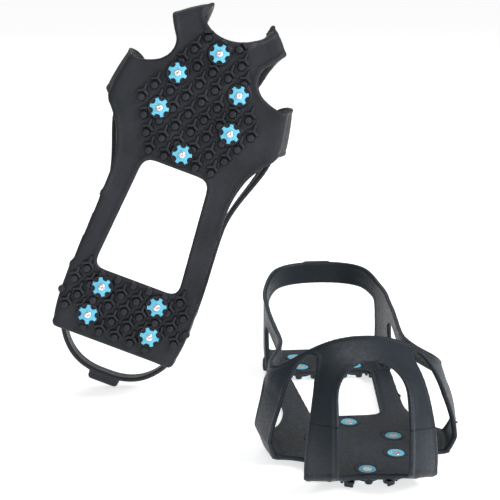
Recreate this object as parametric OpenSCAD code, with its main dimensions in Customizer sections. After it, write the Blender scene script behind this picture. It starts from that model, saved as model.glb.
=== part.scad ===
// A pair of stretch-on ice cleats for shoes. Each cleat is one rubber overshoe
// moulding with ten studs: a notched plastic stud body turns in a round bore of
// the rubber and carries a steel pin whose tip bites the ice.
//
// Frame of one cleat: toe at -Y, heel at +Y, Z up, z = 0 at the steel tips.
// The right-hand cleat stands on its tips. The left-hand cleat stands on its
// heel strap with its studs to the front, and lays down about its fold line.

/* [Shoe form] */
// Length of the shoe that the cleat is stretched over
shoe_len = 307; // [303:1:311]
// Half width of the shoe across the ball of the foot
ball_half = 67.5; // [66:0.5:69]
// Half width of the shoe at the waist
waist_half = 46.5; // [45.5:0.5:48]
// Half width of the shoe at the heel
heel_half = 49; // [48:0.5:50]
// Height of the widest line of the walls above the tips
wide_z = 21; // [19:1:23]
// How far the walls lean in from the widest line down to the tips
wall_lean = 3; // [2:0.5:4]
// How far the side wings bulge out along the widest line
wing_bulge = 4; // [3:0.5:5]
// How steeply the toe end of the sole curves up
toe_tilt = 24; // [20:1:26]

/* [Rubber] */
// Thickness of the straps and walls
wall_t = 2.6; // [2.2:0.1:3]
// Thickness of the sole web
web_t = 2.8; // [2.4:0.1:3.2]
// Height of the web's underside above the tips
web_z = 5.2; // [5:0.1:5.6]
// Half width of the toe opening
toe_open_half = 23; // [22:0.5:26]
// Height of the top of the toe opening
toe_open_z = 85.5; // [84:0.5:87]
// Width of the gap where the heel strap's rubber is parted to let it move
strap_gap = 0.4; // [0.3:0.1:0.6]
// Thickness of the pull tab behind the heel strap
tab_t = 6.5; // [5:0.5:7]

/* [Lugs] */
// Diameter of a lug where it leaves the web
lug_base_d = 6.2; // [5.6:0.1:6.6]
// Diameter of a lug at its face
lug_face_d = 5; // [4.4:0.1:5.4]
// Height of the lug faces above the tips
lug_face_z = 1.2; // [1:0.1:1.6]
// Spacing of the lugs across the sole
lug_pitch = 12.4; // [12:0.1:12.8]
// Spacing of the rows of lugs under the forefoot
fore_row = 11.7; // [11.5:0.1:12]
// Spacing of the rows of lugs under the heel
heel_row = 10.4; // [10.2:0.1:10.6]

/* [Studs] */
// Diameter of the rubber boss round a stud
boss_d = 17.3; // [16.8:0.1:17.6]
// Height of the boss face above the tips
boss_z = 2.2; // [2.1:0.1:2.4]
// Radius of the stud body over its six teeth
gear_r = 7.1; // [6.8:0.1:7.2]
// Radius of each round notch between two teeth
notch_r = 1.75; // [1.5:0.05:1.9]
// Radius of the stud body's neck
neck_r = 3.25; // [3:0.05:3.4]
// Running clearance of the neck in its bore
neck_clear = 0.05; // [0.03:0.01:0.08]
// Radius of the flange on the shoe side
flange_r = 6; // [5.6:0.1:6.2]
// Radius of the steel collar
collar_r = 2.9; // [2.7:0.1:3]
// Radius of the steel tip
tip_r = 1.9; // [1.7:0.1:2]

/* [Placing of the pair] */
// Turn of the right-hand cleat about Z
right_turn = 4.7; // [2:0.1:6]
// Lean of the left-hand cleat, back from upright
left_lean = 12; // [8:1:14]
// Turn of the left-hand cleat in its own sole plane
left_turn = 20.6; // [18:0.1:22]

/* [Hidden] */
$fn = 48;
half_len = shoe_len / 2;
web_top = web_z + web_t;
toe_round_y = -30;
heel_y = 90;
web_end_y = 119.5;
strap_part_y = 124;
toe_bend_y = -119.5;
right_at = [72.02, -5.87, 0];
left_at = [-59.98, 14.93, 168.45];

// Places of the studs on the sole: six under the forefoot and four under the heel
STUDS = [[0, -110.6], [-24.3, -86.7], [24.3, -86.7], [-28, -57.8], [28, -57.8],
         [0, -31], [-22, 82.8], [22, 82.8], [-24.6, 105.9], [24.6, 105.9]];
// How far each stud body happens to be turned
STUD_TURNS = [12, 38, 5, 24, 51, 17, 33, 8, 46, 27];
STUD_COUNT = len(STUDS);

function names(side) = concat(
    [str(side, "_sole_web"), str(side, "_upper_cage"), str(side, "_heel_strap")],
    [for (i = [1:STUD_COUNT]) str(side, "_stud_gear_", i)],
    [for (i = [1:STUD_COUNT]) str(side, "_stud_pin_", i)]);

// ---- Form of the shoe that the cleat follows ----

function ease(a, b, t) = let (s = min(max((t - a) / (b - a), 0), 1)) s * s * (3 - 2 * s);
function toe_round(y) =
    sqrt(max(1 - pow(max(toe_round_y - y, 0) / (half_len + toe_round_y), 2), 0));
function heel_round(y) =
    pow(max(1 - pow(max(y - heel_y, 0) / (half_len - heel_y), 2.5), 0), 0.4);
function half_width(y) = heel_round(y) * (ball_half * toe_round(y)
    + (waist_half - ball_half) * ease(-65, 15, y) + (heel_half - waist_half) * ease(15, 75, y));
// Height of the shoe's crown line above the widest line
function crown(y) = 54 * sqrt(max(1 - pow(max(-98 - y, 0) / (half_len - 98), 2), 0))
    + 0.18 * (y + half_len) + 0.005 * pow(max(y + 98, 0), 2);
function lean_at(z) = wall_lean * pow(max(wide_z - z, 0) / wide_z, 2);
// The bulge is a crest along the widest line, and fades out to the toe and the waist
function bulge_at(y, z) = wing_bulge * ease(-125, -95, y) * (1 - ease(-55, -10, y))
    * max(1 - (z > wide_z ? (z - wide_z) / 30 : (wide_z - z) / 13), 0);

CROWN_POWER = 2 / 2.2;
STATIONS = [for (u = [-88:5.5:88]) u];

// Half of the wall below the widest line, then the arch over the top
function wall_points(y, half, bottom, side) =
    let (steps = side > 0 ? [0:2] : [2:-1:0])
    [for (i = steps)
        let (z = bottom + (wide_z - bottom) * i / 3)
        [side * (half - lean_at(z) + bulge_at(y, z)), y, z]];
function ring(u, t, bottom) =
    let (y0 = half_len * sin(u), y = (half_len + t) * sin(u))
    let (half = half_width(y0) + t, high = crown(y0) + t)
    concat(
        wall_points(y, half, bottom, 1),
        [for (a = [0:8:180])
            let (side = a < 90 ? 1 : -1, z = wide_z + high * pow(abs(sin(a)), CROWN_POWER))
            [side * (half * pow(abs(cos(a)), CROWN_POWER) + bulge_at(y, z)), y, z]],
        wall_points(y, half, bottom, -1));

module shoe_form(t, bottom) {
    rings = [for (u = STATIONS) ring(u, t, bottom)];
    n = len(rings[0]);
    m = len(rings);
    points = [for (r = rings) each r];
    sides = [for (i = [0:m - 2]) for (j = [0:n - 1])
        let (k = (j + 1) % n)
        each [[i * n + j, i * n + k, (i + 1) * n + k], [i * n + j, (i + 1) * n + k, (i + 1) * n + j]]];
    toe_cap = [[for (j = [n - 1:-1:0]) j]];
    heel_cap = [[for (j = [0:n - 1]) (m - 1) * n + j]];
    polyhedron(points, concat(sides, toe_cap, heel_cap), convexity = 8);
}

module shell() {
    difference() {
        shoe_form(wall_t, web_top);
        shoe_form(0, web_top - 2);
    }
}

// ---- Outlines that cut the shell into straps ----

// Seen from the side: the band, side wings, side bands, heel wings and heel strap
module side_outline() {
    offset(r = 3) offset(delta = -6) offset(delta = 3)
        polygon([[-175, 0], [-175, 120], [-80, 120], [-80, 94], [-79, 85], [-74, 75],
                 [-65, 67], [-50, 63], [-20, 60], [30, 59], [80, 62], [120, 67], [140, 75],
                 [175, 77], [175, 58], [140, 57], [124, 51], [120, 44], [118, 28], [119, 0],
                 [71, 0], [77, 28], [83, 43], [70, 48], [30, 46], [-30, 47], [-50, 48],
                 [-58, 41], [-59, 28], [-55, 14], [-50, 0]]);
}

// Seen from the front: the arched toe opening
module toe_outline() {
    hull() {
        translate([0, -20]) square([2 * toe_open_half, 120], center = true);
        translate([0, toe_open_z - 18]) resize([2 * toe_open_half, 36]) circle(18);
    }
}

// Seen along the diagonal: the opening between a front strap and a side wing
module corner_outline() {
    offset(r = 4) offset(delta = -4)
        polygon([[-54, -4], [-58, 14], [-60, 36], [-57, 56], [-51, 67], [-46, 76], [-40, 82],
                 [-30, 81], [-25.5, 73], [-24.5, 60], [-25.5, 48], [-25, 30], [-23, 10], [-19, -4]]);
}

module along_x() rotate([90, 0, 90]) linear_extrude(200, center = true) children();
module along_y() translate([0, -90, 0]) rotate([90, 0, 0]) linear_extrude(100) children();
module along_diagonal() rotate([90, 0, 45]) translate([0, 0, 80]) linear_extrude(120) children();

module straps() {
    difference() {
        intersection() {
            shell();
            along_x() side_outline();
        }
        along_y() toe_outline();
        along_diagonal() corner_outline();
        mirror([1, 0, 0]) along_diagonal() corner_outline();
        at_toe_bend() translate([-100, -60, -40]) cube([200, 60, 40 + web_t]);
    }
}

// Frame of the toe end of the sole, which turns up from the bend line
module at_toe_bend() translate([0, toe_bend_y, web_z]) rotate([-toe_tilt, 0, 0]) children();

module behind(y) translate([-150, y, -10]) cube([300, 150, 200]);

// ---- Sole web ----

function edge_x(y) = half_width(y * half_len / (half_len + wall_t)) + wall_t - lean_at(web_top);
EDGE_YS = [for (u = [-88:4:50]) (half_len + wall_t) * sin(u)];

module sole_outline() {
    intersection() {
        polygon(concat([for (y = EDGE_YS) [edge_x(y), y]],
                       [for (i = [len(EDGE_YS) - 1:-1:0]) [-edge_x(EDGE_YS[i]), EDGE_YS[i]]]));
        translate([-100, -200]) square([200, 200 + web_end_y]);
    }
}

module arch_window() {
    hull() {
        for (side = [-1, 1]) {
            translate([side * 18, -11.6]) circle(8);
            translate([side * 25.9, 62.4]) circle(8);
        }
    }
}

// Notch in the sole between the front strap and the side wing, and the waist behind the wing
module side_notch() {
    offset(r = 2) offset(delta = -2)
        polygon([[33, -104], [33.6, -110], [40, -118.5], [47.7, -126.5], [66, -147], [95, -150],
                 [95, -83], [58, -86], [48.5, -88], [40, -92], [34.9, -98]]);
    polygon([[90, -50], [65.5, -50], [59, -42], [52, -31], [48, -18], [46.2, -6], [47, 16], [90, 16]]);
}

module toe_notch() {
    intersection() {
        translate([0, -151]) circle(28);
        translate([0, -150]) square([2 * toe_open_half, 60], center = true);
    }
}

module web_outline() {
    difference() {
        sole_outline();
        toe_notch();
        arch_window();
        side_notch();
        mirror([1, 0, 0]) side_notch();
    }
}

function clear_of_studs(p) = min([for (s = STUDS) norm(p - s)]) > 8.2;
FORE_LUGS = [for (k = [0:8]) for (i = [-4:4])
    let (p = [(i + (k % 2) / 2) * lug_pitch, -25.2 - fore_row * k])
    if (abs(p.x) <= 43.5 - lug_pitch / 2 * abs(k - 3) && clear_of_studs(p)) p];
HEEL_LUGS = [for (k = [0:4]) for (i = [-4:4])
    let (p = [(i + (k % 2) / 2) * lug_pitch, 73.9 + heel_row * k])
    if (abs(p.x) <= (k < 4 ? 44 : 30) && clear_of_studs(p)) p];

module lug() {
    height = web_z + 0.5 - lug_face_z;
    translate([0, 0, lug_face_z]) cylinder(h = height, d1 = lug_face_d, d2 = lug_base_d);
}

seat_clear = 0.3;
seat_z = boss_z + 1;
recess_z = web_top - 1.2;

module stud_seat() {
    translate([0, 0, -1]) cylinder(h = web_top + 2, r = neck_r + neck_clear);
    translate([0, 0, -1]) cylinder(h = seat_z + 1, r = gear_r + seat_clear);
    translate([0, 0, recess_z]) cylinder(h = 5, r = flange_r + seat_clear);
}

module sole_web() {
    color([0.12, 0.13, 0.14])
    difference() {
        union() {
            translate([0, 0, web_z]) linear_extrude(web_t) intersection() {
                web_outline();
                translate([-100, toe_bend_y - 0.5]) square([200, 300]);
            }
            at_toe_bend() linear_extrude(web_t) intersection() {
                scale([1, 1 / cos(toe_tilt)]) translate([0, -toe_bend_y]) web_outline();
                translate([-100, -60]) square([200, 60.3]);
            }
            for (p = concat(FORE_LUGS, HEEL_LUGS)) translate(p) lug();
            for (p = STUDS)
                translate([p.x, p.y, boss_z]) cylinder(h = web_z + 0.5 - boss_z, d = boss_d);
        }
        for (p = STUDS) translate(p) stud_seat();
    }
}

// ---- Upper ----

module upper_cage() {
    color([0.12, 0.13, 0.14])
    difference() {
        straps();
        behind(strap_part_y);
    }
}

// Pad behind the heel that is gripped to pull the strap over the shoe
module pull_tab() {
    translate([0, half_len + wall_t + tab_t, 67]) rotate([90, 0, 0])
        linear_extrude(tab_t + 1.5) offset(r = 5) square([16, 8], center = true);
}

module heel_strap() {
    color([0.12, 0.13, 0.14])
    union() {
        intersection() {
            straps();
            behind(strap_part_y + strap_gap);
        }
        pull_tab();
    }
}

// ---- Studs ----

gear_z = 1.8;
pin_r = 1.85;
head_r = 3.2;
head_z = web_top - 0.7;
flange_top = web_top - 0.1;

module stud_gear(i) {
    color([0.33, 0.75, 0.92])
    translate(STUDS[i - 1]) rotate([0, 0, STUD_TURNS[i - 1]])
    difference() {
        union() {
            translate([0, 0, gear_z]) linear_extrude(seat_z - 0.1 - gear_z) difference() {
                circle(gear_r);
                for (k = [0:5]) rotate(60 * k) translate([gear_r - 0.1, 0]) circle(notch_r);
            }
            translate([0, 0, gear_z]) cylinder(h = flange_top - gear_z, r = neck_r);
            translate([0, 0, recess_z + 0.1]) cylinder(h = flange_top - recess_z - 0.1, r = flange_r);
        }
        translate([0, 0, -1]) cylinder(h = 12, r = pin_r);
        translate([0, 0, head_z]) cylinder(h = 2, r = head_r);
    }
}

module stud_pin(i) {
    color([0.78, 0.79, 0.8])
    translate(STUDS[i - 1]) {
        cylinder(h = 1, r1 = tip_r - 0.3, r2 = tip_r);
        translate([0, 0, 0.9]) cylinder(h = gear_z - 0.9, r = collar_r);
        translate([0, 0, 1]) cylinder(h = head_z - 1, r = pin_r);
        translate([0, 0, head_z]) cylinder(h = flange_top - head_z, r = head_r);
    }
}

// ---- The pair ----

module right_side() translate(right_at) rotate([0, 0, right_turn]) children();
module left_side()
    translate(left_at) rotate([-(90 + left_lean), 0, 0]) rotate([0, 0, left_turn]) children();

right_side() sole_web();  // right_sole_web
right_side() upper_cage();  // right_upper_cage
right_side() heel_strap();  // right_heel_strap
for (i = [1:STUD_COUNT])
    right_side() stud_gear(i);
for (i = [1:STUD_COUNT])
    right_side() stud_pin(i);

left_side() sole_web();  // left_sole_web
left_side() upper_cage();  // left_upper_cage
left_side() heel_strap();  // left_heel_strap
for (i = [1:STUD_COUNT])
    left_side() stud_gear(i);
for (i = [1:STUD_COUNT])
    left_side() stud_pin(i);
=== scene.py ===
"""A pair of stretch-on ice cleats for shoes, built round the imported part.

Every shape is made in the frame of one cleat, in millimetres: toe at -Y, heel at +Y,
Z up, z = 0 at the steel tips. PLACES puts it into the world, in metres.
"""

import math

import bpy
import numpy as np
from mathutils import Matrix, Vector


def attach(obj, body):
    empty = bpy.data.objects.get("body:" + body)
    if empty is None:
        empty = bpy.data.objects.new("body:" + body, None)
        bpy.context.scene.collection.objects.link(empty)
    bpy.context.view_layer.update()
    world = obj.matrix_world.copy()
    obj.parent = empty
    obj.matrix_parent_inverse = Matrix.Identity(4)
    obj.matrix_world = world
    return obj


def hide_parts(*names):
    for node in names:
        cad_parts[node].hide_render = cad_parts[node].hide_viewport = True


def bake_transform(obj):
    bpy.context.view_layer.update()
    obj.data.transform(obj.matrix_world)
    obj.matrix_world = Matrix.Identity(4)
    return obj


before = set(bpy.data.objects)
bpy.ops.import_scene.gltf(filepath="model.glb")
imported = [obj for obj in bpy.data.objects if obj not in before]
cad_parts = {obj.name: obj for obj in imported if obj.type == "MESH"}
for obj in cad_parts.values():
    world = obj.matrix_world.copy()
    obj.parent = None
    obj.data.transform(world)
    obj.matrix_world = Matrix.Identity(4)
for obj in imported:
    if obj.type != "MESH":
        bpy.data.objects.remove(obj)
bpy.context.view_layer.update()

# ---- Measurements, in millimetres ----

HALF_LEN = 153.5
BALL_HALF, WAIST_HALF, HEEL_HALF = 67.5, 46.5, 49.0
WIDE_Z = 21.0
WALL_T = 2.6
WEB_Z, WEB_TOP = 5.2, 8.0
FORM_POWER = 2.2
TOE_OPEN_HALF, TOE_OPEN_Z, TOE_OPEN_ARCH = 23.0, 85.5, 18
STUDS = [(0, -110.6), (-24.3, -86.7), (24.3, -86.7), (-28, -57.8), (28, -57.8),
         (0, -31), (-22, 82.8), (22, 82.8), (-24.6, 105.9), (24.6, 105.9)]
STUD_TURNS = [12, 38, 5, 24, 51, 17, 33, 8, 46, 27]
STUD_HOLE_R = 7.9
LUG_PITCH, FORE_ROW, HEEL_ROW = 12.4, 11.7, 10.4

# The round opening under the tip of the toe, the heel edge of the sole, how far back the toe
# opening reaches, and how far in the corner openings reach along their diagonal.
TOE_NOTCH_R, TOE_NOTCH_Y = 28, -151
HEEL_EDGE_Y = 123
TOE_OPEN_BACK, CORNER_OPEN_IN = -90, 80

# The sole curves up past TOE_SPRING_Y until it has the slope, one curve's length on.
TOE_SPRING_Y, TOE_SPRING_CURVE, TOE_SPRING_SLOPE = -112, 15, 0.445

# Behind this stretch of y the walls follow the heel's outline in plan.
HEEL_BLEND = (88, 100)

# Rounding of the sole's outer edge, of the corner inside it, and of the edges of the walls,
# the sole and its cuts.
SOLE_EDGE_R, INSIDE_R, WALL_EDGE_R, WEB_TOP_R, CUT_EDGE_R = 3.4, 1.4, 1.15, 0.9, 1.2

# How high over the sole's underside the walls start, and how deep they may reach into the form.
WALL_FOOT, WALL_DEPTH = 1.6, 4.5

# Rounded rims: how far off the face, how far back from the edge, radius. Then how far the two
# on the sole may stand out of it, and where and how fast the bead ends towards the straps.
LIP, TOE_LIP = (0.25, 1.75, 1.8), (0.9, 2.2, 2.3)
SOLE_RIM, TOE_BEAD = (1.4, 1.8, 1.8), (0.9, 2.0, 2.5)
SOLE_RIM_OUT, TOE_BEAD_OUT = 0.4, 1.7
TOE_BEAD_HALF, TOE_BEAD_FADE = 19.5, 0.7

# The distances over which parts of the rubber melt together.
MELT_RIM, MELT_LIP, MELT_TAB, MELT_WALL = 1.2, 1.0, 2.0, 3.0

# The pull tab behind the heel: centre, half size inside its rounding, rounding.
TAB_AT, TAB_HALF, TAB_R = (0, 158.3, 67), (9.5, 1.3, 5.5), 3.0

# A sliver of flash on the right cleat's wing.
FLASH_Y, FLASH_Z = -88, 30

# Past TOE_SPRING_Y the shoe draws the toe in and back, by SWAY at a distance of SWAY_SPAN.
SWAY_SPAN, SWAY_MOST, SWAY_POWER = 30, 1.4, 1.5
SWAY = {"right": (-1.9, 0), "left": (3.8, 3.6)}

PLACES = {
    "right": Matrix.Translation((72.02, -5.87, 0)) @ Matrix.Rotation(math.radians(4.7), 4, "Z"),
    "left": Matrix.Translation((-59.98, 14.93, 168.45))
    @ Matrix.Rotation(math.radians(-102), 4, "X")
    @ Matrix.Rotation(math.radians(20.6), 4, "Z"),
}
METRE = Matrix.Scale(0.001, 4)


def ease(a, b, t):
    """A smooth step from 0 at a to 1 at b."""
    s = np.clip((t - a) / (b - a), 0, 1)
    return s * s * (3 - 2 * s)


# ---- The shoe form that the rubber follows ----

def half_width(y):
    """Half the width of the form at its widest line."""
    toe = np.sqrt(np.maximum(1 - (np.maximum(-30 - y, 0) / (HALF_LEN - 30)) ** 2, 0))
    heel = np.maximum(1 - (np.maximum(y - 90, 0) / (HALF_LEN - 90)) ** 2.5, 0) ** 0.4
    return heel * (BALL_HALF * toe + (WAIST_HALF - BALL_HALF) * ease(-65, 15, y)
                   + (HEEL_HALF - WAIST_HALF) * ease(15, 75, y))


def crown(y):
    """Height of the form over its widest line."""
    toe = np.sqrt(np.maximum(1 - (np.maximum(-98 - y, 0) / (HALF_LEN - 98)) ** 2, 0))
    return 54 * toe + 0.18 * (y + HALF_LEN) + 0.005 * np.maximum(y + 98, 0) ** 2


def lean_at(z):
    """How far the form draws in below its widest line."""
    return 3 * (np.maximum(WIDE_Z - z, 0) / WIDE_Z) ** 2


def bulge_at(y, z):
    """The side wings stand out along a crest at the widest line."""
    rise = np.where(z > WIDE_Z, (z - WIDE_Z) / 30, (WIDE_Z - z) / 13)
    crest = np.maximum(1 - np.sqrt(rise ** 2 + 0.004), 0)
    return 4.2 * ease(-125, -95, y) * (1 - ease(-55, -10, y)) * crest


def rise_at(y):
    """How far the sole has curved up towards the toe."""
    past, curve = np.maximum(TOE_SPRING_Y - y, 0), TOE_SPRING_CURVE
    return TOE_SPRING_SLOPE * np.where(past < curve, past * past / (2 * curve), past - curve / 2)


# ---- Distance fields ----

def both(a, b, r):
    """Where two solids overlap, with their common edge rounded to radius r."""
    u, v = np.maximum(a + r, 0), np.maximum(b + r, 0)
    return np.minimum(np.maximum(a, b), -r) + np.sqrt(u * u + v * v)


def join(a, b, k):
    """Two solids melted together over a distance k."""
    h = np.maximum(k - np.abs(a - b), 0) / k
    return np.minimum(a, b) - h * h * k / 4


def filleted(points, r):
    """A closed outline with its corners rounded."""
    p = np.array(points, float)
    out = []
    for i in range(len(p)):
        back, ahead = p[i - 1] - p[i], p[(i + 1) % len(p)] - p[i]
        lb, la = np.linalg.norm(back), np.linalg.norm(ahead)
        reach = min(r, 0.45 * lb, 0.45 * la)
        a, b = p[i] + back / lb * reach, p[i] + ahead / la * reach
        for t in (0, 0.25, 0.5, 0.75, 1):
            out.append((1 - t) ** 2 * a + 2 * t * (1 - t) * p[i] + t * t * b)
    return np.array(out)


def outline_distance(px, py, outline):
    """Signed distance from points to a closed outline, negative inside."""
    d2 = np.full(np.broadcast(px, py).shape, 1e9)
    inside = np.zeros(d2.shape, bool)
    for a, b in zip(outline, np.roll(outline, -1, 0)):
        e = b - a
        wx, wy = px - a[0], py - a[1]
        t = np.clip((wx * e[0] + wy * e[1]) / max(e @ e, 1e-9), 0, 1)
        d2 = np.minimum(d2, (wx - t * e[0]) ** 2 + (wy - t * e[1]) ** 2)
        if abs(e[1]) > 1e-9:
            inside ^= ((a[1] > py) != (b[1] > py)) & (px < e[0] * (py - a[1]) / e[1] + a[0])
    return np.where(inside, -1, 1) * np.sqrt(d2)


# What is cut out of the walls: (y, z) seen from the side, (distance along the diagonal, z)
# seen along the other diagonal, and (x, z) seen from the toe.
SIDE_OUTLINE = filleted(
    [(-175, -20), (-175, 120), (-80, 120), (-80, 94), (-79, 85), (-74, 75), (-65, 67),
     (-50, 63), (-20, 60), (30, 59), (80, 62), (120, 67), (140, 75), (175, 77), (175, 58),
     (140, 57), (124, 51), (123, 44), (121.5, 28), (122.5, -20), (71, -20), (71, 0), (77, 28),
     (83, 43), (70, 48), (30, 46), (-30, 47), (-50, 48), (-58, 41), (-59, 28), (-55, 14),
     (-50, 0), (-50, -20)], 6)
CORNER_OUTLINE = filleted(
    [(-63, -4), (-60, 5), (-58.5, 14), (-60, 36), (-58.5, 54), (-53.5, 67), (-47, 76), (-40, 82),
     (-30, 81), (-25.5, 73), (-24, 60), (-24, 48), (-22, 35), (-19.5, 22), (-19.5, 10),
     (-18, -4)], 6)
TOE_OUTLINE = filleted(
    [(TOE_OPEN_HALF * math.cos(a), TOE_OPEN_Z - TOE_OPEN_ARCH + TOE_OPEN_ARCH * math.sin(a))
     for a in map(math.radians, range(0, 181, 15))]
    + [(-TOE_OPEN_HALF, -60), (TOE_OPEN_HALF, -60)], 4)

# What is cut out of the sole, in plan: the window under the arch, the notch between a front
# strap and a side wing, and the waist behind the wing.
WINDOW_OUTLINE = filleted([(-26, -19.6), (26, -19.6), (33.9, 70.4), (-33.9, 70.4)], 9)
NOTCH_OUTLINE = filleted(
    [(33, -104), (33.6, -110), (38.6, -117.5), (42.5, -123.5), (46, -133), (52, -147), (95, -150),
     (95, -83), (58, -86), (48.5, -88), (40, -92), (34.9, -98)], 7)
WAIST_OUTLINE = filleted(
    [(95, -50), (65.5, -50), (59, -42), (52, -31), (48, -18), (46.2, -6), (47, 16), (95, 16)], 5)


def toe_notch(x, y):
    """Signed distance to the round opening under the tip of the toe, positive inside it."""
    return TOE_NOTCH_R - np.hypot(x, y - TOE_NOTCH_Y)


def plan_cut(x, y):
    """Signed distance in plan to what is cut out of the sole web, positive inside a cut."""
    ax = np.abs(x)
    cut = np.maximum(toe_notch(x, y), y - HEEL_EDGE_Y)
    for outline in (WINDOW_OUTLINE, NOTCH_OUTLINE, WAIST_OUTLINE):
        cut = np.maximum(cut, -outline_distance(ax, y, outline))
    return cut


def form_field(x, y, z, t):
    """The form made t bigger: negative inside, roughly in millimetres near its surface."""
    y0 = np.clip(y * HALF_LEN / (HALF_LEN + t), -HALF_LEN + 0.2, HALF_LEN - 0.2)
    half, high = half_width(y0) + t, crown(y0) + t
    lateral = np.abs(x) - bulge_at(y, z)
    out, up = np.maximum(lateral, 0) / half, np.maximum(z - WIDE_Z, 0) / high
    over = (out ** FORM_POWER + up ** FORM_POWER) ** (1 / FORM_POWER) * half - half
    return np.where(z > WIDE_Z, over, lateral + lean_at(z) - half)


def unit_field(f, h):
    """f scaled so that it grows by one a millimetre, and its unit gradient."""
    g = np.gradient(f, h)
    size = np.sqrt(g[0] ** 2 + g[1] ** 2 + g[2] ** 2) + 1e-6
    return f / size, [c / size for c in g]


def heel_plan(x, y):
    """Exact signed distance to the form's outline in plan, for the rounded heel."""
    u = np.linspace(60, HALF_LEN, 900)
    u = HALF_LEN - (HALF_LEN - u) ** 2 / (HALF_LEN - 60)
    edge = np.stack([half_width(u), u], 1)
    ring = np.concatenate([edge, (edge * (-1, 1))[::-1]])
    return outline_distance(x, y, ring[::6])


def along_shell(value, slopes, normal):
    """A cut's distance measured along the shell instead of across the view it is drawn in."""
    dot = sum(slope * n for slope, n in zip(slopes, normal))
    return value / np.sqrt(np.clip(1 - dot ** 2, 0.2, 1))


def side_opening(y, z, normal, h):
    """What is cut away as seen from the side."""
    distance = outline_distance(y[0], z[0], SIDE_OUTLINE)
    gy, gz = np.gradient(distance, h)
    return along_shell(distance[None], (0, gy[None], gz[None]), normal)


def toe_opening(x, y, z, normal, h):
    """What is cut away between the two front straps, as seen from the toe."""
    distance = outline_distance(x[:, 0], z[:, 0], TOE_OUTLINE)
    gx, gz = np.gradient(distance, h)
    cut = along_shell(-distance[:, None], (gx[:, None], 0, gz[:, None]), normal)
    return np.minimum(cut, TOE_OPEN_BACK - y)


def corner_opening(x, y, z, normal, h):
    """What is cut away between a front strap and a side wing, as seen along the diagonal."""
    end, step = 130, 0.5
    us = np.arange(-end, end, step)[:, None]
    distance = outline_distance(us, z[0], CORNER_OUTLINE)
    gu, gz = np.gradient(distance, step, h)
    at = ((x[:, :, 0] + y[:, :, 0]) / math.sqrt(2) + end) / step
    i = np.clip(at.astype(int), 0, len(us) - 2)
    part = (at - i)[:, :, None]

    def pick(values):
        return values[i] * (1 - part) + values[i + 1] * part

    g = pick(gu) / math.sqrt(2)
    cut = along_shell(-pick(distance), (g, g, pick(gz)), normal)
    return np.minimum(cut, (x - y) / math.sqrt(2) - CORNER_OPEN_IN)


def rounded_rim(off_face, off_edge, rim):
    """A rounded bar that runs along an edge."""
    out, back, r = rim
    return np.hypot(off_face - out, off_edge + back) - r


def wall_field(x, y, z, shell, outer, inner, normal, rise, h):
    """The straps, wings and bands: the shell less its openings, with a lip round each."""
    toe = toe_opening(x, y, z, normal, h)
    edge = np.maximum(side_opening(y, z, normal, h), toe)
    edge = np.maximum(edge, corner_opening(x, y, z, normal, h))
    mid = outer + WALL_T / 2
    toe_lip = np.maximum(rounded_rim(mid, toe, TOE_LIP), edge - 0.2)
    lip = np.minimum(rounded_rim(mid, edge, LIP), toe_lip)
    walls = join(both(shell, edge, WALL_EDGE_R), lip, MELT_LIP)
    walls = np.maximum(walls, WEB_Z + WALL_FOOT + rise - z)
    return np.maximum(walls, -WALL_DEPTH - inner)


def web_field(x, y, z, body, rise, slant):
    """The sole: a slab with rimmed cuts, stud holes, and a bead that hangs from its front edge."""
    cut = plan_cut(x[:, :, 0], y[:, :, 0])[:, :, None]
    height = z - rise - WEB_Z
    web = both(both(body, (z - WEB_TOP - rise) * slant, WEB_TOP_R), cut, CUT_EDGE_R)
    rim = np.maximum(rounded_rim(height, cut, SOLE_RIM), body - SOLE_RIM_OUT)
    bead = np.maximum(rounded_rim(height, toe_notch(x, y), TOE_BEAD), body - TOE_BEAD_OUT)
    bead = np.maximum(bead, (x - TOE_BEAD_HALF) * TOE_BEAD_FADE)
    web = join(join(web, rim, MELT_RIM), bead, MELT_RIM)
    for sx, sy in STUDS:
        if sx >= 0:
            web = np.maximum(web, STUD_HOLE_R - np.hypot(x - sx, y - sy))
    return web


def tab_field(*point):
    """The pull tab: a small block with rounded edges."""
    off = sum(np.maximum(np.abs(p - at) - half, 0) ** 2
              for p, at, half in zip(point, TAB_AT, TAB_HALF))
    return np.sqrt(off) - TAB_R


def rubber_field(h):
    """The distance field of one cleat's rubber, on a grid of spacing h, and the grid's corner.

    Only the half at +X is worked out; the other half is its mirror image.
    """
    nx, ny, nz = int(76 / h) + 1, int(326 / h) + 1, int(96 / h) + 1
    low = np.array([h / 2, -161.0, 1.0])
    x = (low[0] + h * np.arange(nx))[:, None, None]
    y = (low[1] + h * np.arange(ny))[None, :, None]
    z = (low[2] + h * np.arange(nz))[None, None, :]

    outer, normal = unit_field(form_field(x, y, z, WALL_T), h)
    inner, _ = unit_field(form_field(x, y, z, 0), h)
    plan = heel_plan(x[:, :, 0], y[:, :, 0])[:, :, None]
    at_heel = ease(*HEEL_BLEND, y)
    outer = outer * (1 - at_heel) + (plan - WALL_T + lean_at(z)) * at_heel
    inner = inner * (1 - at_heel) + (plan + lean_at(z)) * at_heel

    rise = rise_at(y)
    slant = 1 / np.sqrt(1 + np.gradient(rise, h, axis=1) ** 2)
    body = both(outer, (WEB_Z + rise - z) * slant, SOLE_EDGE_R)
    hollow = both(inner, (WEB_TOP + rise - z) * slant, INSIDE_R)
    shell = np.maximum(body, -hollow)
    walls = wall_field(x, y, z, shell, outer, inner, normal, rise, h)
    rubber = join(walls, web_field(x, y, z, body, rise, slant), MELT_WALL)
    rubber = join(rubber, tab_field(x, y, z), MELT_TAB)
    return np.concatenate([rubber[::-1], rubber]), low * (-1, 1, 1) - (h * (nx - 1), 0, 0)


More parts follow.
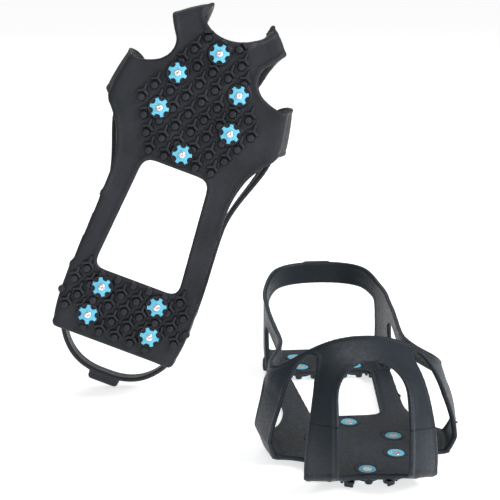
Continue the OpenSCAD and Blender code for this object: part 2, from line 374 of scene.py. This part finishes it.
def surface(field, low, h):
    """Points and quads of the surface where a field crosses zero, by surface nets."""
    inside = field < 0
    count = sum(inside[i:i + inside.shape[0] - 1, j:j + inside.shape[1] - 1,
                       k:k + inside.shape[2] - 1].astype(np.int8)
                for i in (0, 1) for j in (0, 1) for k in (0, 1))
    cells = np.argwhere((count > 0) & (count < 8))
    number = np.full(count.shape, -1, np.int32)
    number[tuple(cells.T)] = np.arange(len(cells))
    total, hits = np.zeros((len(cells), 3)), np.zeros((len(cells), 1))
    for axis in range(3):
        step = np.eye(3, dtype=int)[axis]
        others = [a for a in range(3) if a != axis]
        for p in (0, 1):
            for q in (0, 1):
                start = np.zeros(3, int)
                start[others[0]], start[others[1]] = p, q
                a = field[tuple((cells + start).T)]
                b = field[tuple((cells + start + step).T)]
                cross = (a < 0) != (b < 0)
                t = np.where(cross, a / np.where(cross, a - b, 1), 0)
                point = start + t[:, None] * step
                total += point * cross[:, None]
                hits += cross[:, None]
    points = cells + total / hits
    quads = []
    for axis in range(3):
        step = np.eye(3, dtype=int)[axis]
        b, c = np.eye(3, dtype=int)[(axis + 1) % 3], np.eye(3, dtype=int)[(axis + 2) % 3]
        lo = [slice(None, -1) if a == axis else slice(1, -1) for a in range(3)]
        hi = [slice(1, None) if a == axis else slice(1, -1) for a in range(3)]
        cross = inside[tuple(lo)] != inside[tuple(hi)]
        at = np.argwhere(cross) + (1 - step)
        ring = np.stack([number[tuple((at - m).T)] for m in (b * 0, b, b + c, c)], 1)
        flip = inside[tuple(at.T)]
        ring[flip] = ring[flip][:, ::-1]
        quads.append(ring)
    # Newton steps draw the points onto the field's own surface.
    slopes = np.gradient(field)
    for _ in range(2):
        i = np.clip(points.astype(int), 0, np.array(field.shape) - 2)
        f = points - i
        value, slope = 0, np.zeros((len(points), 3))
        for dx in (0, 1):
            for dy in (0, 1):
                for dz in (0, 1):
                    w = (np.where(dx, f[:, 0], 1 - f[:, 0]) * np.where(dy, f[:, 1], 1 - f[:, 1])
                         * np.where(dz, f[:, 2], 1 - f[:, 2]))
                    corner = (i[:, 0] + dx, i[:, 1] + dy, i[:, 2] + dz)
                    value = value + w * field[corner]
                    slope += w[:, None] * np.stack([s[corner] for s in slopes], 1)
        move = -value[:, None] * slope / np.maximum((slope ** 2).sum(1), 0.05)[:, None]
        points = points + np.clip(move, -0.4, 0.4)
    return points * h + low, np.concatenate(quads)


# ---- Lathed and lofted parts ----

class Shape:
    """Points and faces gathered from several simple solids."""

    def __init__(self):
        self.points, self.faces, self.count = [], [], 0

    def add(self, points, faces):
        """One more solid, its faces numbered on from those before."""
        self.points.append(np.asarray(points, float))
        self.faces += [tuple(i + self.count for i in f) for f in faces]
        self.count += len(points)

    def loft(self, rings, closed_ends=True):
        """A skin over rings of points, each ring running anticlockwise as seen from the last."""
        n, m = len(rings[0]), len(rings)
        faces = [(r * n + i, r * n + (i + 1) % n, (r + 1) * n + (i + 1) % n, (r + 1) * n + i)
                 for r in range(m - 1) for i in range(n)]
        if closed_ends:
            faces += [tuple(range(n))[::-1], tuple((m - 1) * n + i for i in range(n))]
        self.add(np.concatenate(rings), faces)

    def lathe(self, profile, at=(0, 0), sides=32, closed=False):
        """A turned solid from (radius, z) pairs. Closed joins the last pair to the first."""
        a = np.arange(sides) * 2 * math.pi / sides
        rings = [np.stack([at[0] + r * np.cos(a), at[1] + r * np.sin(a), np.full(sides, z)], 1)
                 for r, z in profile]
        if closed:
            rings.append(rings[0])
        self.loft(rings, not closed)


def swayed(points, side):
    """The toe drawn towards the inside of the foot, as the shoe in it draws it."""
    points = np.array(points, float)
    reach = np.clip((TOE_SPRING_Y - points[:, 1]) / SWAY_SPAN, 0, SWAY_MOST)
    points[:, :2] += np.outer(reach ** SWAY_POWER, SWAY[side])
    return points


def mesh_object(name, points, faces, matrix, paint, sharp=40):
    """A smooth-shaded mesh object from points in one cleat's frame."""
    mesh = bpy.data.meshes.new(name)
    if isinstance(faces, np.ndarray):
        mesh.vertices.add(len(points))
        mesh.vertices.foreach_set("co", np.asarray(points, np.float32).ravel())
        mesh.loops.add(faces.size)
        mesh.loops.foreach_set("vertex_index", faces.astype(np.int32).ravel())
        mesh.polygons.add(len(faces))
        mesh.polygons.foreach_set("loop_start", np.arange(0, faces.size, 4, dtype=np.int32))
        mesh.update(calc_edges=True)
    else:
        mesh.from_pydata([tuple(p) for p in points], [], faces)
    mesh.validate()
    mesh.transform(METRE @ matrix)
    mesh.polygons.foreach_set("use_smooth", [True] * len(mesh.polygons))
    mesh.set_sharp_from_angle(angle=math.radians(sharp))
    mesh.materials.append(paint)
    obj = bpy.data.objects.new(name, mesh)
    bpy.context.scene.collection.objects.link(obj)
    return obj


BOSS_CLEAR_R = 8.72
LUG_SIDES, BOSS_SIDES = 26, 56
LUG_GAP, RIDGE_GAP, RIDGE_EDGE = 7.5, 9.2, 2.6
FORE_Y, HEEL_Y = -25.2, 73.9
SIDE_LUG_X, SIDE_LUG_Y = 49.6, 94.7


def lug_row(k, y, half):
    """The lugs of row k at y, every other row set off by half a pitch, out to half each way."""
    spots = [((i + k % 2 / 2) * LUG_PITCH, y) for i in range(-4, 5)]
    return [spot for spot in spots if abs(spot[0]) <= half]


FORE_LUGS = [spot for k in range(9)
             for spot in lug_row(k, FORE_Y - FORE_ROW * k, 43.5 - LUG_PITCH / 2 * abs(k - 3))]
HEEL_LUGS = [spot for k in range(5)
             for spot in lug_row(k, HEEL_Y + HEEL_ROW * k, 44 if k < 4 else 30)]


def stud_gap(x, y):
    """How far a point in plan is from the nearest stud's axis."""
    return min(math.hypot(x - sx, y - sy) for sx, sy in STUDS)


def clear_of_bosses(points):
    """The points, with those inside a boss moved out to its wall."""
    points = np.array(points, float)
    for spot in STUDS:
        away = points[:, :2] - spot
        gap = np.hypot(away[:, 0], away[:, 1])
        inside = gap < BOSS_CLEAR_R
        outward = away[inside] / np.maximum(gap[inside], 1e-3)[:, None]
        points[inside, :2] = np.array(spot) + outward * BOSS_CLEAR_R
    return points


def capsule(a, b, r, steps=5):
    """A rounded bar's outline in plan."""
    a, b = np.array(a, float), np.array(b, float)
    return star((a + b) / 2, [a, b], r, steps)


def star(node, tips, r, steps=5):
    """The outline in plan of rounded arms of half width r that meet at a node."""
    arms = sorted((math.atan2(*(np.array(t) - node)[::-1]), tuple(t)) for t in tips)
    out = []

    def mark(centre, reach, t):
        out.append((centre[0] + reach * math.cos(t), centre[1] + reach * math.sin(t)))

    for i, (turn, tip) in enumerate(arms):
        for k in range(steps + 1):
            mark(tip, r, turn + math.pi * (k / steps - 0.5))
        half = (arms[(i + 1) % len(arms)][0] - turn) % (2 * math.pi) / 2
        mark(node, r / math.sin(half), turn + half)
    return np.array(out)


def at_height(outline, z):
    """An outline in plan, lifted to a height."""
    return np.column_stack([outline, np.full(len(outline), z)])


# Profiles of the tread, as (radius or half width, z) pairs.
RIDGE = [(1.75, 5.6), (1.42, 5.05), (1.2, 4.4), (1.0, 2.0), (0.86, 1.68), (0.55, 1.55)]
LUG = [(3.7, 5.6), (3.35, 5.1), (3.08, 4.5), (2.62, 1.65), (2.45, 1.35), (2.1, 1.2)]
SIDE_LUG = [(0.2, 14.0), (1.4, 13.4), (2.4, 12.0), (2.9, 10.0), (3.05, 5.0), (2.62, 1.65),
            (2.45, 1.35), (0.2, 1.2)]
BOSS = [(10.1, 5.35), (9.3, 5.05), (8.85, 4.6), (8.68, 4.0), (8.65, 2.6), (8.5, 2.32),
        (8.2, 2.2), (7.95, 2.2), (7.72, 2.3), (7.6, 2.55), (7.6, 3.2), (3.4, 3.2), (3.3, 3.3),
        (3.3, 6.8), (6.3, 6.8), (6.3, 7.95), (6.5, 8.15), (8.3, 8.15), (8.6, 7.8), (8.6, 5.6),
        (10.1, 5.6)]


def ridge_arms(x, y, row):
    """The node of the ridge beside the lug at x, y, and the tips of those arms that have room."""
    node = np.array([x + 0.3, y - row * 0.5])
    tips = [node + t for t in ((-4.1, 1.9), (3.5, 2.3), (0.1, -row * 0.4))]
    tips = [t for t in tips if stud_gap(*(node + t) / 2) > RIDGE_GAP
            and plan_cut(t[:1], t[1:])[0] < -RIDGE_EDGE]
    if len(tips) == 1:
        tips.append(node + (tips[0] - node) * 0.01)
        node = (tips[0] + tips[1]) / 2
    return node, tips


def tread():
    """The lugs, the Y-shaped ridge beside each of them, and the bosses round the studs."""
    shape = Shape()
    a = np.arange(LUG_SIDES) * 2 * math.pi / LUG_SIDES
    circle = np.stack([np.cos(a), np.sin(a)], 1)
    for x, y in FORE_LUGS + HEEL_LUGS:
        if stud_gap(x, y) > LUG_GAP:
            shape.loft([clear_of_bosses(at_height((x, y) + r * circle, z)) for r, z in LUG])
        node, tips = ridge_arms(x, y, FORE_ROW if y < 0 else HEEL_ROW)
        if tips:
            shape.loft([clear_of_bosses(at_height(star(node, tips, r), z)) for r, z in RIDGE])
    for x in (-SIDE_LUG_X, SIDE_LUG_X):
        shape.lathe(SIDE_LUG, (x, SIDE_LUG_Y), LUG_SIDES)
    for spot in STUDS:
        shape.lathe(BOSS, spot, BOSS_SIDES, closed=True)
    return shape


def gear_outline():
    """The stud disc in plan: six teeth parted by round notches."""
    r, centre, notch, shoulder = 7.3, 7.2, 2.25, (6.92, 2.31)
    out = []
    for k in range(6):
        c, s = math.cos(math.radians(60 * k)), math.sin(math.radians(60 * k))
        arc = [(centre + notch * math.cos(t), notch * math.sin(t))
               for t in np.radians(np.arange(258, 101, -12))]
        arc = [(shoulder[0], -shoulder[1])] + arc + [shoulder]
        arc += [(r * math.cos(t), r * math.sin(t)) for t in np.radians((21, 25.5, 30, 34.5, 39))]
        out += [(x * c - y * s, x * s + y * c) for x, y in arc]
    return np.array(out)


def inset(outline, d):
    """An anticlockwise outline drawn in by d."""
    run = np.roll(outline, -1, 0) - np.roll(outline, 1, 0)
    run /= np.linalg.norm(run, axis=1)[:, None]
    return outline + d * np.stack([-run[:, 1], run[:, 0]], 1)


def stud_disc():
    """The notched plastic disc with its neck and the flange that holds it in the rubber."""
    shape = Shape()
    edge = gear_outline()
    hub = edge / np.linalg.norm(edge, axis=1)[:, None] * 3.2
    shape.loft([at_height(hub, 3.1)] + [at_height(inset(edge, d), z) for d, z in (
        (0, 3.1), (0, 2.15), (0.06, 1.97), (0.18, 1.85), (0.34, 1.8))] + [at_height(hub, 1.8)])
    shape.lathe([(1.9, 2.0), (3.25, 2.0), (3.25, 6.9), (5.8, 6.9), (6.0, 7.08), (6.0, 7.72),
                 (5.82, 7.9), (3.3, 7.9), (3.2, 7.8), (3.2, 7.3), (1.9, 7.3)],
                sides=48, closed=True)
    shape.lathe([(3.75, 1.95), (3.72, 1.72), (3.6, 1.66), (3.1, 1.66), (2.98, 1.72), (2.95, 1.95)],
                sides=48, closed=True)
    return shape


def stud_pin():
    """The steel pin: a dimpled tip on a collar, and the head on the shoe side."""
    shape = Shape()
    shape.lathe([(0.25, 0.34), (0.6, 0.16), (0.95, 0.03), (1.3, 0), (1.6, 0.04), (1.76, 0.18),
                 (1.85, 0.85), (1.93, 0.93), (2.3, 0.95), (2.52, 1.03), (2.62, 1.2), (2.62, 1.8),
                 (1.85, 1.8), (1.85, 7.3), (3.1, 7.3), (3.2, 7.4), (3.2, 7.78), (3.08, 7.9),
                 (0.25, 7.9)], sides=40)
    return shape


# ---- Materials ----

def material(name, colour, roughness, metallic=0.0, **sockets):
    """A plain Principled material, its node tree and its shader node."""
    m = bpy.data.materials.new(name)
    m.use_nodes = True
    shader = m.node_tree.nodes["Principled BSDF"]
    shader.inputs["Base Color"].default_value = (*colour, 1)
    shader.inputs["Roughness"].default_value = roughness
    shader.inputs["Metallic"].default_value = metallic
    for key, value in sockets.items():
        shader.inputs[key.replace("_", " ")].default_value = value
    return m, m.node_tree, shader


def noise(tree, scale, detail=4, rough=0.55):
    """A 3-D noise whose scale counts features a metre."""
    spot = tree.nodes.new("ShaderNodeTexCoord")
    texture = tree.nodes.new("ShaderNodeTexNoise")
    texture.inputs["Scale"].default_value = scale
    texture.inputs["Detail"].default_value = detail
    texture.inputs["Roughness"].default_value = rough
    tree.links.new(spot.outputs["Object"], texture.inputs["Vector"])
    return texture.outputs["Fac"]


def ranged(tree, fac, low, high, start=0.3, end=0.7):
    """A value that runs from low to high while fac runs from start to end."""
    node = tree.nodes.new("ShaderNodeMapRange")
    node.inputs["From Min"].default_value = start
    node.inputs["From Max"].default_value = end
    node.inputs["To Min"].default_value = low
    node.inputs["To Max"].default_value = high
    tree.links.new(fac, node.inputs["Value"])
    return node.outputs["Result"]


def tinted(tree, fac, low, high):
    """A colour between low and high, by fac."""
    node = tree.nodes.new("ShaderNodeMix")
    node.data_type = "RGBA"
    node.inputs["A"].default_value = (*low, 1)
    node.inputs["B"].default_value = (*high, 1)
    tree.links.new(ranged(tree, fac, 0, 1), node.inputs["Factor"])
    return node.outputs["Result"]


def bumped(tree, shader, layers):
    """Stacked bumps: (height, strength, distance) each."""
    last = None
    for height, strength, distance in layers:
        node = tree.nodes.new("ShaderNodeBump")
        node.inputs["Strength"].default_value = strength
        node.inputs["Distance"].default_value = distance
        tree.links.new(height, node.inputs["Height"])
        if last:
            tree.links.new(last, node.inputs["Normal"])
        last = node.outputs["Normal"]
    tree.links.new(last, shader.inputs["Normal"])


def maths(tree, kind, a, b=None):
    """One Math node's result."""
    node = tree.nodes.new("ShaderNodeMath")
    node.operation = kind
    tree.links.new(a, node.inputs[0])
    if b is not None:
        tree.links.new(b, node.inputs[1])
    return node.outputs[0]


def attribute_parts(tree, name):
    """The first two parts of a vector that the mesh carries at its points."""
    node = tree.nodes.new("ShaderNodeAttribute")
    node.attribute_name = name
    split = tree.nodes.new("ShaderNodeSeparateXYZ")
    tree.links.new(node.outputs["Vector"], split.inputs[0])
    return split.outputs["X"], split.outputs["Y"]


def rubber_material(name, low, high, grain):
    """Satin moulded rubber with a fine grain, and lines where the mould parted: bumped, and
    darkened with painted shade.

    Its colour drifts between low and high.
    """
    m, tree, shader = material(name, low, 0.5, Specular_IOR_Level=0.34)
    strap, wing = [ranged(tree, maths(tree, "ABSOLUTE", away), 1, 0, 0.2, 0.5)
                   for away in attribute_parts(tree, "from_seam")]
    on_strap, on_wing = attribute_parts(tree, "has_seam")
    seam_ridge_and_shade = maths(tree, "MAXIMUM", maths(tree, "MULTIPLY", strap, on_strap),
                 maths(tree, "MULTIPLY", wing, on_wing))
    # Painted shade: the colour along the parting lines' small ridges is mixed towards near black.
    shade = tree.nodes.new("ShaderNodeMix")
    shade.data_type = "RGBA"
    shade.inputs["B"].default_value = (0.003, 0.004, 0.006, 1)
    tree.links.new(seam_ridge_and_shade, shade.inputs["Factor"])
    tree.links.new(tinted(tree, noise(tree, 28, 5, 0.6), low, high), shade.inputs["A"])
    tree.links.new(shade.outputs["Result"], shader.inputs["Base Color"])
    tree.links.new(ranged(tree, noise(tree, 420, 4, 0.7), 0.38, 0.62), shader.inputs["Roughness"])
    bumped(tree, shader, [(noise(tree, 1500, 2, 0.6), grain, 0.0002),
                          (noise(tree, 330, 3), 0.15, 0.0005), (seam_ridge_and_shade, 1.0, 0.0005)])
    return m


def plastic_material():
    """The studs' bright blue plastic, slightly translucent."""
    m, tree, shader = material("stud_plastic", (0.15, 0.58, 0.8), 0.34)
    shader.inputs["Subsurface Weight"].default_value = 0.12
    shader.inputs["Subsurface Radius"].default_value = (0.0006, 0.0012, 0.002)
    tree.links.new(tinted(tree, noise(tree, 160, 3), (0.125, 0.53, 0.75), (0.175, 0.62, 0.83)),
                   shader.inputs["Base Color"])
    tree.links.new(ranged(tree, noise(tree, 700, 3), 0.26, 0.42), shader.inputs["Roughness"])
    bumped(tree, shader, [(noise(tree, 1300, 2), 0.08, 0.0001)])
    return m


def steel_material():
    """The pins' bright turned steel."""
    m, tree, shader = material("steel", (0.86, 0.86, 0.85), 0.25, 1.0)
    tree.links.new(ranged(tree, noise(tree, 900, 3), 0.18, 0.34), shader.inputs["Roughness"])
    tree.links.new(tinted(tree, noise(tree, 500, 3), (0.78, 0.77, 0.74), (0.92, 0.92, 0.91)),
                   shader.inputs["Base Color"])
    bumped(tree, shader, [(noise(tree, 1500, 2), 0.05, 0.00005)])
    return m


# ---- The pair ----

# The light in the photo tints the two cleats differently, and shows the raised one's grain.
RUBBER = {
    "right": rubber_material("rubber_right", (0.005, 0.0105, 0.016), (0.013, 0.0195, 0.029), 0.5),
    "left": rubber_material("rubber_left", (0.007, 0.0095, 0.013), (0.021, 0.0235, 0.031), 1.0),
}
PLASTIC, STEEL = plastic_material(), steel_material()
# A finer step would take each cleat's rubber past 200,000 triangles.
STEP = 1.08
skin_points, skin_faces = surface(*rubber_field(STEP), STEP)
print("rubber", len(skin_points), "points", len(skin_faces), "quads")
tread_shape, disc_shape, pin_shape = tread(), stud_disc(), stud_pin()


def place(shape, name, matrix, paint):
    """A stud's disc or pin as an object."""
    return mesh_object(name, np.concatenate(shape.points), shape.faces, matrix, paint, 35)


def mark_seams(mesh, points):
    """Each point's height off the mould's parting lines, and whether it lies on their run."""
    x, y, z = points.T
    zero = np.zeros(len(x))
    rim = 52 - 0.235 * (np.abs(x) - 23) - 0.06 * x
    straps, wings = y < -110, (y > -108) & (y < -40) & (np.abs(x) > 40)
    heights, runs = (z - rim, z - WIDE_Z, zero), (straps, wings, zero)
    for name, values in (("from_seam", heights), ("has_seam", runs)):
        layer = mesh.attributes.new(name, "FLOAT_VECTOR", "POINT")
        layer.data.foreach_set("vector", np.stack(values, 1).astype(np.float32).ravel())


def flash_nub():
    """A sliver of flash left on one side wing."""
    shape = Shape()
    wall = half_width(FLASH_Y) + WALL_T + bulge_at(FLASH_Y, FLASH_Z)
    shape.loft([at_height(capsule((wall - 1.2, FLASH_Y), (wall + 1.4, FLASH_Y), r), FLASH_Z + up)
                for r, up in ((0.3, -0.6), (0.55, -0.3), (0.55, 0.3), (0.3, 0.6))])
    return shape


for side, matrix in PLACES.items():
    shoe, loop = side + "_overshoe", side + "_heel_loop"
    skin = mesh_object(side + "_rubber", swayed(skin_points, side), skin_faces, matrix,
                       RUBBER[side], 60)
    mark_seams(skin.data, skin_points)
    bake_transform(skin)
    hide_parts(side + "_sole_web", side + "_upper_cage", side + "_heel_strap")
    solids = [("_tread", tread_shape)] + [("_flash", flash_nub())] * (side == "right")
    for name, shape in solids:
        pads = mesh_object(side + name, swayed(np.concatenate(shape.points), side), shape.faces,
                           matrix, RUBBER[side])
        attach(pads, shoe)
    for i, (spot, turn) in enumerate(zip(STUDS, STUD_TURNS), 1):
        at = matrix @ Matrix.Translation((*spot, 0)) @ Matrix.Rotation(math.radians(turn), 4, "Z")
        disc = place(disc_shape, f"{side}_disc_{i}", at, PLASTIC)
        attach(disc, f"{side}_stud_{i}")
        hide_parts(f"{side}_stud_gear_{i}")
        pin = place(pin_shape, f"{side}_pin_{i}", at, STEEL)
        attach(pin, f"{side}_stud_{i}")
        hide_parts(f"{side}_stud_pin_{i}")

# ---- Floor, light and camera ----

floor_mesh = bpy.data.meshes.new("floor")
floor_mesh.from_pydata([(-6, -6, 0), (6, -6, 0), (6, 10, 0), (-6, 10, 0)], [], [(0, 1, 2, 3)])
floor_paint, _, _ = material("floor", (0.8, 0.8, 0.805), 0.8, Emission_Color=(1, 1, 1, 1),
                             Emission_Strength=0.66)
floor_mesh.materials.append(floor_paint)
floor = bpy.data.objects.new("floor", floor_mesh)
bpy.context.scene.collection.objects.link(floor)


def area_light(name, at, target, size, power, colour=(1, 1, 1)):
    """A round lamp at a place, turned to its target."""
    lamp = bpy.data.lights.new(name, "AREA")
    lamp.shape, lamp.size, lamp.energy, lamp.color = "DISK", size, power, colour
    obj = bpy.data.objects.new(name, lamp)
    obj.location = at
    obj.rotation_mode = "QUATERNION"
    obj.rotation_quaternion = (Vector(target) - Vector(at)).to_track_quat("-Z", "Y")
    bpy.context.scene.collection.objects.link(obj)


area_light("key", (1.2, -0.6, 1.1), (0, 0, 0.12), 0.7, 20)
area_light("fill", (-1.1, -1.0, 0.9), (0, 0, 0.1), 1.2, 1.2, (0.85, 0.93, 1))
area_light("front", (0.2, -1.5, 0.62), (-0.03, 0, 0.24), 0.2, 3.4)
area_light("back", (-0.2, 1.2, 1.4), (0, 0, 0.1), 1.0, 8)

world = bpy.data.worlds.new("studio")
world.use_nodes = True
world.node_tree.nodes["Background"].inputs["Color"].default_value = (1, 1, 1, 1)
world.node_tree.nodes["Background"].inputs["Strength"].default_value = 0.36
bpy.context.scene.world = world
bpy.context.scene.view_settings.view_transform = "Standard"

camera = bpy.data.cameras.new("camera")
camera.lens, camera.sensor_width = 92.0, 36
camera_object = bpy.data.objects.new("camera", camera)
camera_object.location = (0.00142, -0.9098, 0.39018)
camera_object.rotation_euler = (math.radians(74), 0, 0)
bpy.context.scene.collection.objects.link(camera_object)
bpy.context.scene.camera = camera_object
